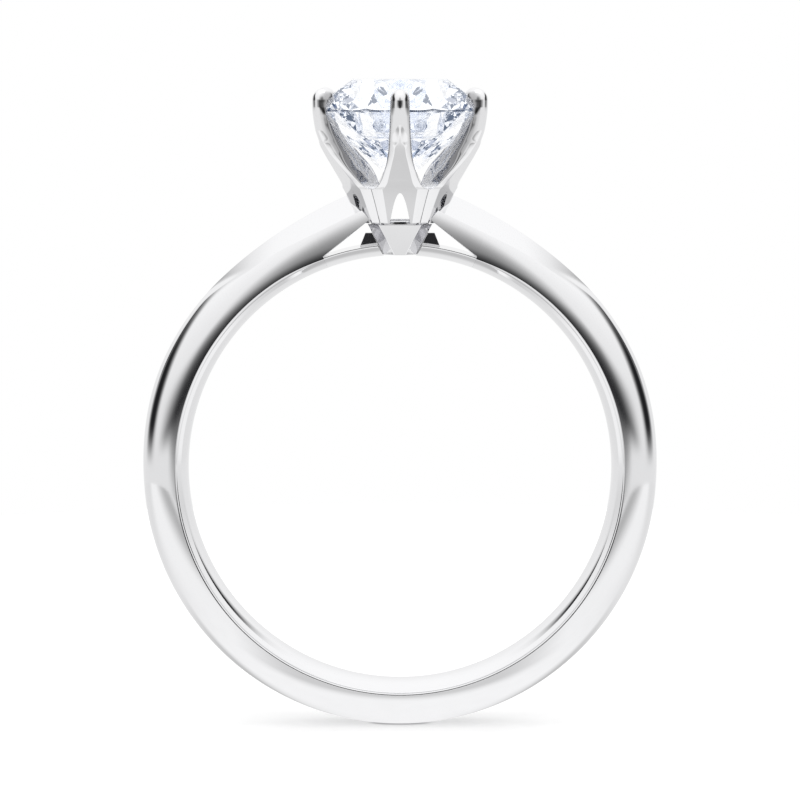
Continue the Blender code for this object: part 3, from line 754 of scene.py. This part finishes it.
def build_bridge(name, side, finish):
    loops = []
    edge = lower_edge(BORE_EDGE, BORE_EDGE_SLOPE, EDGE_ROUND_SPLIT)
    for start, end in ((math.radians(0.6), GUSSET_TOP_ANGLE), (GUSSET_FOOT_ANGLE, SPLIT_ANGLE)):
        for i in range(13):
            angle = start + (end - start) * i / 12
            rail = [Vector((x, BRIDGE_TOP)) for x in (BAND_WIDTH / 2, GUSSET_HALF_WIDTH)]
            half = edge + rail + [Vector((GUSSET_HALF_WIDTH, gusset_top(angle)))]
            outline = half + [Vector((-p.x, p.y)) for p in reversed(half)]
            for k in range(1, BORE_STEPS):
                across = edge[0].x * (2 * k / BORE_STEPS - 1)
                outline.append(Vector((across, bore_radius(across))))
            loops.append(place_section(outline, side * angle))
    shape = cut(loft(loops), peg_slot())
    piece = add_piece(f"{name}_rail", shape, finish, [name], 20)
    bevel(piece, 0.02 * MM, 2, 40)
    return piece


def build_peg(finish):
    loops = []
    rows = 8
    for i in range(rows + 1):
        share = i / rows
        height = PEG_FOOT + (PEG_TOP - PEG_FOOT) * share
        depth = PEG_FOOT_DEPTH + (PEG_TOP_DEPTH - PEG_FOOT_DEPTH) * share
        side = PEG_FOOT_SIDE + (PEG_TOP_SIDE - PEG_FOOT_SIDE) * share
        r = peg_radius(height)
        flat = r - PEG_CORNER
        front = ((-r, -side), (-flat, -depth), (flat, -depth), (r, -side))
        outline = front + tuple((-x, -y) for x, y in front)
        loops.append([(x, y, height) for x, y in outline])
    piece = add_piece("peg_body", loft(loops), finish, ["peg"], 20)
    bevel(piece, 0.03 * MM)
    return piece


def build_gallery_ring(finish):
    foot = PEG_TOP + SEAM
    top = foot + GALLERY_HEIGHT
    shape = bmesh.new()
    rings = []
    sides = 96
    corners = ((GALLERY_HOLE, foot), (GALLERY_RADIUS, foot), (GALLERY_RADIUS, top), (GALLERY_HOLE, top))
    for i in range(sides):
        a = 2 * math.pi * i / sides
        rings.append([shape.verts.new((r * math.cos(a), r * math.sin(a), z)) for r, z in corners])
    for i in range(sides):
        here, after = rings[i], rings[(i + 1) % sides]
        for k in range(4):
            m = (k + 1) % 4
            shape.faces.new((here[k], here[m], after[m], after[k]))
    piece = add_piece("gallery_floor", shape, finish, ["gallery_ring"], 30)
    bevel(piece, 0.02 * MM)
    return piece


# Stone


def plane_through(a, b, c):
    """(point, normal) of the plane through three points, with the normal away from the stone."""
    normal = (b - a).cross(c - a).normalized()
    centre = Vector((0, 0, (GIRDLE_BOTTOM + GIRDLE_TOP) / 2))
    return a, normal if normal.dot(a - centre) > 0 else -normal


def stone_point(radius, turn, height):
    return Vector((radius * math.cos(turn), radius * math.sin(turn), height))


def brilliant_planes():
    """The facet planes of a round brilliant: table, stars, mains and halves."""
    crown_slope = (TABLE_HEIGHT - GIRDLE_TOP) / (STONE_RADIUS - TABLE_RADIUS)
    pavilion_slope = math.tan(PAVILION_ANGLE)
    culet = GIRDLE_BOTTOM - STONE_RADIUS * pavilion_slope
    eighth, half_step = math.pi / 4, math.pi / 8
    table_edge = TABLE_RADIUS * math.cos(half_step)
    star_radius = table_edge + STAR_LENGTH * (STONE_RADIUS - table_edge)
    star_height = TABLE_HEIGHT - crown_slope * (star_radius * math.cos(half_step) - TABLE_RADIUS)
    keel_radius = (1 - LOWER_HALF_LENGTH) * STONE_RADIUS
    keel_height = culet + pavilion_slope * keel_radius * math.cos(half_step)
    planes = [(Vector((0, 0, TABLE_HEIGHT)), Vector((0, 0, 1)))]
    for k in range(8):
        main = k * eighth
        crown = Vector((math.cos(main) * crown_slope, math.sin(main) * crown_slope, 1))
        planes.append((stone_point(STONE_RADIUS, main, GIRDLE_TOP), crown.normalized()))
        pavilion = Vector((math.cos(main) * pavilion_slope, math.sin(main) * pavilion_slope, -1))
        planes.append((stone_point(STONE_RADIUS, main, GIRDLE_BOTTOM), pavilion.normalized()))
        left = stone_point(TABLE_RADIUS, main, TABLE_HEIGHT)
        right = stone_point(TABLE_RADIUS, main + eighth, TABLE_HEIGHT)
        star = stone_point(star_radius, main + half_step, star_height)
        planes.append(plane_through(left, right, star))
        keel = stone_point(keel_radius, main + half_step, keel_height)
        for corner in (main, main + eighth):
            for tip, level in ((star, GIRDLE_TOP), (keel, GIRDLE_BOTTOM)):
                edge = stone_point(STONE_RADIUS, corner, level)
                meet = stone_point(STONE_RADIUS, main + half_step, level)
                planes.append(plane_through(tip, edge, meet))
    return planes


def build_stone(finish):
    """The diamond, cut facet by facet from a round blank."""
    depth = TABLE_HEIGHT - GIRDLE_BOTTOM + STONE_RADIUS
    shape = bmesh.new()
    bmesh.ops.create_cone(shape, cap_ends=True, segments=GIRDLE_SIDES, radius1=STONE_RADIUS,
                          radius2=STONE_RADIUS, depth=2 * depth)
    bmesh.ops.translate(shape, vec=(0, 0, GIRDLE_BOTTOM), verts=shape.verts)
    for point, normal in brilliant_planes():
        everything = list(shape.verts) + list(shape.edges) + list(shape.faces)
        done = bmesh.ops.bisect_plane(shape, geom=everything, plane_co=point, plane_no=normal,
                                      dist=1e-9, clear_outer=True)
        edges = [e for e in done["geom_cut"] if isinstance(e, bmesh.types.BMEdge) and e.is_boundary]
        if edges:
            bmesh.ops.contextual_create(shape, geom=edges)
    bmesh.ops.remove_doubles(shape, verts=shape.verts, dist=1e-7)
    return add_piece("stone", shape, finish, ["diamond"])


# Claws


def stone_outline_radius(height):
    """Radius of the stone's round envelope at a height."""
    if height > GIRDLE_TOP:
        slope = (TABLE_HEIGHT - GIRDLE_TOP) / (STONE_RADIUS - TABLE_RADIUS)
        return STONE_RADIUS - (height - GIRDLE_TOP) / slope
    if height < GIRDLE_BOTTOM:
        return STONE_RADIUS - (GIRDLE_BOTTOM - height) / math.tan(PAVILION_ANGLE)
    return STONE_RADIUS


def claw_inside(height):
    """Inner face of a claw: its own thickness, cut back by the seat for the stone."""
    own = claw_outside(height) - claw_thickness(height)
    if height > GIRDLE_TOP:
        return max(TIP_INNER_RADIUS, stone_outline_radius(height - SEAT) + SEAT)
    return max(own, stone_outline_radius(min(height + SEAT, GIRDLE_TOP)) + SEAT)


def seam_point(radius):
    """A point on the soldered seam between a claw and its neighbour, as (outward, sideways)."""
    gap = SEAM / 2 / math.cos(CLAW_SECTOR)
    return Vector((radius * math.cos(CLAW_SECTOR), radius * math.sin(CLAW_SECTOR) - gap))


def claw_side(height, out, inside):
    """The side of a claw, from its outside to its inside: the seam, or above it the shaft."""
    corner = out / math.cos(FACET_HALF_ANGLE) * math.cos(CLAW_SECTOR - FACET_HALF_ANGLE)
    seam = [seam_point(radius) for radius in (corner, (corner + inside) / 2, inside)]
    if height <= ARCH_BOTTOM:
        return seam
    side = claw_half_width(height)
    drop = min(1.0, max(0.0, (ARCH_TOP - height) / (ARCH_TOP - ARCH_BOTTOM)))
    spread = 1 - (1 - drop**ARCH_POWER) ** (1 / ARCH_POWER)
    outer = Vector((out - claw_rounding(height), side)).lerp(seam[0], spread)
    inner = Vector((inside, INNER_WIDTH * side)).lerp(seam[2], spread)
    middle = outer.lerp(inner, 0.5)
    middle.y += (outer.y - inner.y) / 2 * (1 - spread)
    return [outer, middle, inner]


def claw_row(height):
    """Half of a claw's section: (outward, sideways) points from its middle round to its inside."""
    out, inside = claw_outside(height), claw_inside(height)
    window = 0.0
    if height < WINDOW_TOP:
        depth = (WINDOW_TOP - height) / (WINDOW_TOP - CLAW_FOOT)
        window = WINDOW_HALF_WIDTH * math.sqrt(depth)
    side = claw_side(height, out, inside)
    flat = out * math.tan(FACET_HALF_ANGLE)
    if height > ARCH_BOTTOM:
        flat = min(claw_flat(height), 0.9 * side[0].y)
    corners = [Vector((out, window)), Vector((out, flat)), *side, Vector((inside, window))]
    side_radius = side_softness(height)
    return rounded(corners, [front_softness(height)] + [side_radius] * 3)


def tip_row(share):
    """A row of the rounded tip. share runs from 0 at its foot to 1 at its crown."""
    size = math.sqrt(1 - share * share)
    return [Vector((TIP_RADIUS + (p.x - TIP_RADIUS) * size, p.y * size)) for p in claw_row(TIP_START)]


def claw_heights():
    """Rows from the foot up: closer together round the window, the arch and the stone's seat."""
    legs = [CLAW_FOOT, CLAW_FOOT + FOOT_CHAMFER / 2, CLAW_FOOT + FOOT_CHAMFER]
    for i in range(1, 20):
        legs.append(WINDOW_TOP - (WINDOW_TOP - legs[2]) * (1 - i / 19) ** 2)
    legs += [WINDOW_TOP + (ARCH_BOTTOM - WINDOW_TOP) * i / 5 for i in range(1, 6)]
    turns = [math.pi / 2 * (1 - i / 20) for i in range(1, 21)]
    arch = [ARCH_TOP - (ARCH_TOP - ARCH_BOTTOM) * math.sin(a) for a in turns]
    notch = GIRDLE_BOTTOM - NOTCH_DEPTH
    shaft = [ARCH_TOP + (notch - ARCH_TOP) * i / 30 for i in range(1, 31)]
    seat = [GIRDLE_BOTTOM - NOTCH_DEPTH / 2, GIRDLE_BOTTOM - SEAT, GIRDLE_TOP + SEAT]
    tip = [GIRDLE_TOP + (TIP_START - GIRDLE_TOP) * i / 8 for i in range(1, 9)]
    return legs + arch + shaft + seat + tip


def claw_shape():
    """One claw at azimuth 0: a shaft that forks into two legs round a window."""
    shape = bmesh.new()
    rows = []
    for height in claw_heights():
        half = claw_row(height)
        if height == CLAW_FOOT:
            chamfered = PEG_TOP_RADIUS + SEAM
            half = [Vector((min(p.x, chamfered), min(p.y, chamfered / 2))) for p in half]
        rows.append((height, height < WINDOW_TOP, half))
    for i in range(1, 13):
        share = math.sin(math.pi / 2 * i / 12.5)
        height = TIP_START + (TIP_TOP - TIP_START) * share
        rows.append((height, False, tip_row(share)))
    rings = []
    for height, split, half in rows:
        right = [shape.verts.new((p.x, p.y, height)) for p in half]
        left = []
        for k, p in enumerate(half):
            shared = not split and k in (0, len(half) - 1)
            left.append(right[k] if shared else shape.verts.new((p.x, -p.y, height)))
        rings.append((split, right, left))
    for (split, right, left), (_, right_up, left_up) in zip(rings, rings[1:]):
        for low, up in ((right, right_up), (left, left_up)):
            for k in range(len(low) - 1):
                shape.faces.new((low[k], low[k + 1], up[k + 1], up[k]))
            if split:
                shape.faces.new((low[-1], low[0], up[0], up[-1]))
    shape.faces.new(rings[0][1])
    shape.faces.new(rings[0][2])
    _, right, left = rings[-1]
    shape.faces.new(right + list(reversed(left[1:-1])))
    bmesh.ops.remove_doubles(shape, verts=shape.verts, dist=1e-7)
    return shape


def build_claws(finish):
    for i in range(CLAW_COUNT):
        shape = claw_shape()
        turn = -math.pi / 2 + 2 * math.pi * i / CLAW_COUNT
        for v in shape.verts:
            x, y, z = v.co
            v.co = (x * math.cos(turn) - y * math.sin(turn), x * math.sin(turn) + y * math.cos(turn), z)
        piece = add_piece(f"forked_claw_{i + 1}", shape, finish, [f"claw_{i + 1}"], 35)
        bevel(piece, 0.015 * MM, 2, 50)


def build_ring():
    # Three copies of one platinum, with slightly different tone and roughness, painted crevice shade of
    # different reach, and painted side shade on the claws
    band = platinum("platinum_band", (0.82, 0.82, 0.83), roughness=0.055, reach=0.10 * MM)
    head = platinum("platinum_head", (0.86, 0.86, 0.87), roughness=0.05, reach=0.03 * MM)
    claw = platinum("platinum_claw", (0.83, 0.83, 0.84), roughness=0.05, reach=0.30 * MM, side_shade=1.0)
    build_band(band)
    build_bridge("bridge_right", 1, head)
    build_bridge("bridge_left", -1, head)
    build_peg(head)
    build_gallery_ring(head)
    build_claws(claw)
    build_stone(diamond_material())


def render_look():
    """Bounces that a cut stone needs, and plain tones."""
    scene = bpy.context.scene
    scene.view_settings.view_transform = "Standard"
    scene.cycles.max_bounces = BOUNCES
    scene.cycles.transmission_bounces = BOUNCES
    scene.cycles.glossy_bounces = REFLECTIONS
    scene.cycles.caustics_reflective = True
    scene.cycles.caustics_refractive = True


studio_world()
overhead_softbox()
pale_floor()
camera()
build_ring()
render_look()
